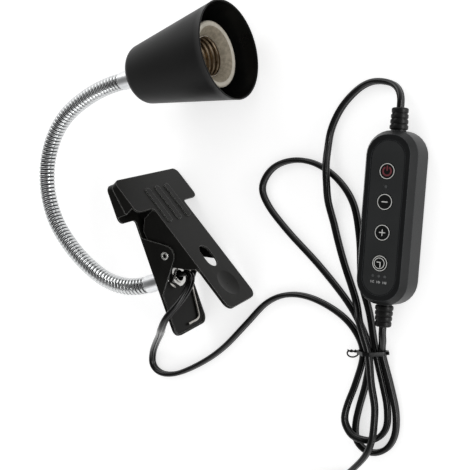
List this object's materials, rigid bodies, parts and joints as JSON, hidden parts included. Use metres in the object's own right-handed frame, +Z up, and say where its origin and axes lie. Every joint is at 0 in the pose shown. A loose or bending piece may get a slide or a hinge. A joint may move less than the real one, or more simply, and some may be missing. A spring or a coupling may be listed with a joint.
{
  "type": "reptile clamp lamp",
  "caption": "Reptile clamp lamp: black conical shade with screw lampholder on a ribbed chrome gooseneck, spring clamp, in-line dimmer with timer and two-pin plug.",
  "frame": {"origin": "on the table under the middle of the lamp's own box (shade, neck and clamp, without the cord and what is on it)", "axes": "+Z up from the table; +X along the lamp's longest side, from the cord's far end towards the shade's side; +Y towards the gooseneck's crown"},
  "size_m": [0.407, 0.3107, 0.0746],
  "materials": {
    "shade_paint": "matte black outside, gloss black inside",
    "porcelain": "unglazed porcelain, warm grey",
    "socket_metal": "rolled, bright",
    "bright_steel": "zinc plated",
    "chrome_plate": "polished chrome",
    "clamp_paint": "satin black",
    "cord_jacket": "satin black PVC",
    "tie_plastic": "black",
    "case_plastic": "fine-textured dark grey",
    "panel_film": "smooth printed film",
    "power_key": "dark red printed key",
    "silicone": "silicone",
    "board": "fibreglass board",
    "light_pipe": "translucent",
    "pin_brass": "nickel plated brass"
  },
  "bodies": {
    "clamp": {"neck_hose_root": "chrome_plate", "neck_cable_root": "cord_jacket", "clamp_ferrule": "chrome_plate", "threaded_stud": "chrome_plate", "lock_washer": "bright_steel", "hex_nut": "chrome_plate", "fixed_jaw": "clamp_paint", "pivot_rivet": "chrome_plate", "torsion_spring": "chrome_plate", "controller_back_shell": "case_plastic", "controller_front_shell": "case_plastic", "face_panel": "panel_film", "key_mat": "silicone", "circuit_board": "board", "indicator_leds": "light_pipe", "housing_screws": "bright_steel", "strain_relief_lamp": "cord_jacket", "strain_relief_plug": "cord_jacket", "lamp_cord": "cord_jacket", "plug_cord": "cord_jacket", "cord_coil": "cord_jacket", "bundle_tie": "tie_plastic", "coil_tie": "tie_plastic", "plug_body": "cord_jacket", "plug_pins": "pin_brass"},
    "jaw": {"moving_jaw": "clamp_paint"},
    "neck_1": {"neck_hose_1": "chrome_plate", "neck_cable_1": "cord_jacket"},
    "neck_2": {"neck_hose_2": "chrome_plate", "neck_cable_2": "cord_jacket"},
    "neck_3": {"neck_hose_3": "chrome_plate", "neck_cable_3": "cord_jacket"},
    "neck_4": {"neck_hose_4": "chrome_plate", "neck_cable_4": "cord_jacket"},
    "head": {"shade": "shade_paint", "lampholder_body": "porcelain", "screw_shell": "socket_metal", "centre_contact": "socket_metal", "lampholder_bracket": "bright_steel", "bracket_screws": "bright_steel", "fixing_nipple": "bright_steel", "nipple_nut": "bright_steel", "head_ferrule": "chrome_plate", "neck_hose_head": "chrome_plate", "neck_cable_head": "cord_jacket"},
    "power_key": {"power_button": "power_key"},
    "dim_down_key": {"dim_down_button": "panel_film"},
    "dim_up_key": {"dim_up_button": "panel_film"},
    "timer_key": {"timer_button": "panel_film"}
  },
  "joints": [
    {"name": "jaw_pivot", "type": "hinge", "parent": "clamp", "child": "jaw", "pos_m": [-0.05092, -0.04284, 0.02876], "axis": [0.1794, 0.0813, -0.9804], "range_deg": [0, 35], "stiffness_Nm_per_rad": 0.8, "springref_deg": -45.84, "deforming": ["torsion_spring"]},
    {"name": "neck_swing_low", "type": "hinge", "parent": "clamp", "child": "neck_1", "pos_m": [-0.07689, 0.00115, 0.02744], "axis": [0, 0, 1], "range_deg": [-10, 60], "deforming": ["neck_hose_root", "neck_hose_1", "neck_cable_root", "neck_cable_1"]},
    {"name": "neck_lift_low", "type": "hinge", "parent": "neck_1", "child": "neck_2", "pos_m": [-0.05636, 0.05386, 0.02943], "axis": [0.771, -0.6368, 0], "range_deg": [-35, 35], "deforming": ["neck_hose_1", "neck_hose_2", "neck_cable_1", "neck_cable_2"]},
    {"name": "neck_swing_mid", "type": "hinge", "parent": "neck_2", "child": "neck_3", "pos_m": [-0.00938, 0.08596, 0.03099], "axis": [0, 0, 1], "range_deg": [-15, 60], "deforming": ["neck_hose_2", "neck_hose_3", "neck_cable_2", "neck_cable_3"]},
    {"name": "neck_lift_high", "type": "hinge", "parent": "neck_3", "child": "neck_4", "pos_m": [0.04459, 0.07197, 0.03205], "axis": [-0.6819, -0.7314, 0], "range_deg": [-20, 40], "deforming": ["neck_hose_3", "neck_hose_4", "neck_cable_3", "neck_cable_4"]},
    {"name": "neck_swing_high", "type": "hinge", "parent": "neck_4", "child": "head", "pos_m": [0.06852, 0.02015, 0.03249], "axis": [0, 0, 1], "range_deg": [-25, 60], "deforming": ["neck_hose_4", "neck_hose_head", "neck_cable_4", "neck_cable_head"]},
    {"name": "power_press", "type": "slide", "parent": "clamp", "child": "power_key", "axis": [0, 0, -1], "range_m": [0, 0.0005], "stiffness_N_per_m": 400, "springref_m": -0.001},
    {"name": "dim_down_press", "type": "slide", "parent": "clamp", "child": "dim_down_key", "axis": [0, 0, -1], "range_m": [0, 0.0005], "stiffness_N_per_m": 400, "springref_m": -0.001},
    {"name": "dim_up_press", "type": "slide", "parent": "clamp", "child": "dim_up_key", "axis": [0, 0, -1], "range_m": [0, 0.0005], "stiffness_N_per_m": 400, "springref_m": -0.001},
    {"name": "timer_press", "type": "slide", "parent": "clamp", "child": "timer_key", "axis": [0, 0, -1], "range_m": [0, 0.0005], "stiffness_N_per_m": 400, "springref_m": -0.001}
  ]
}
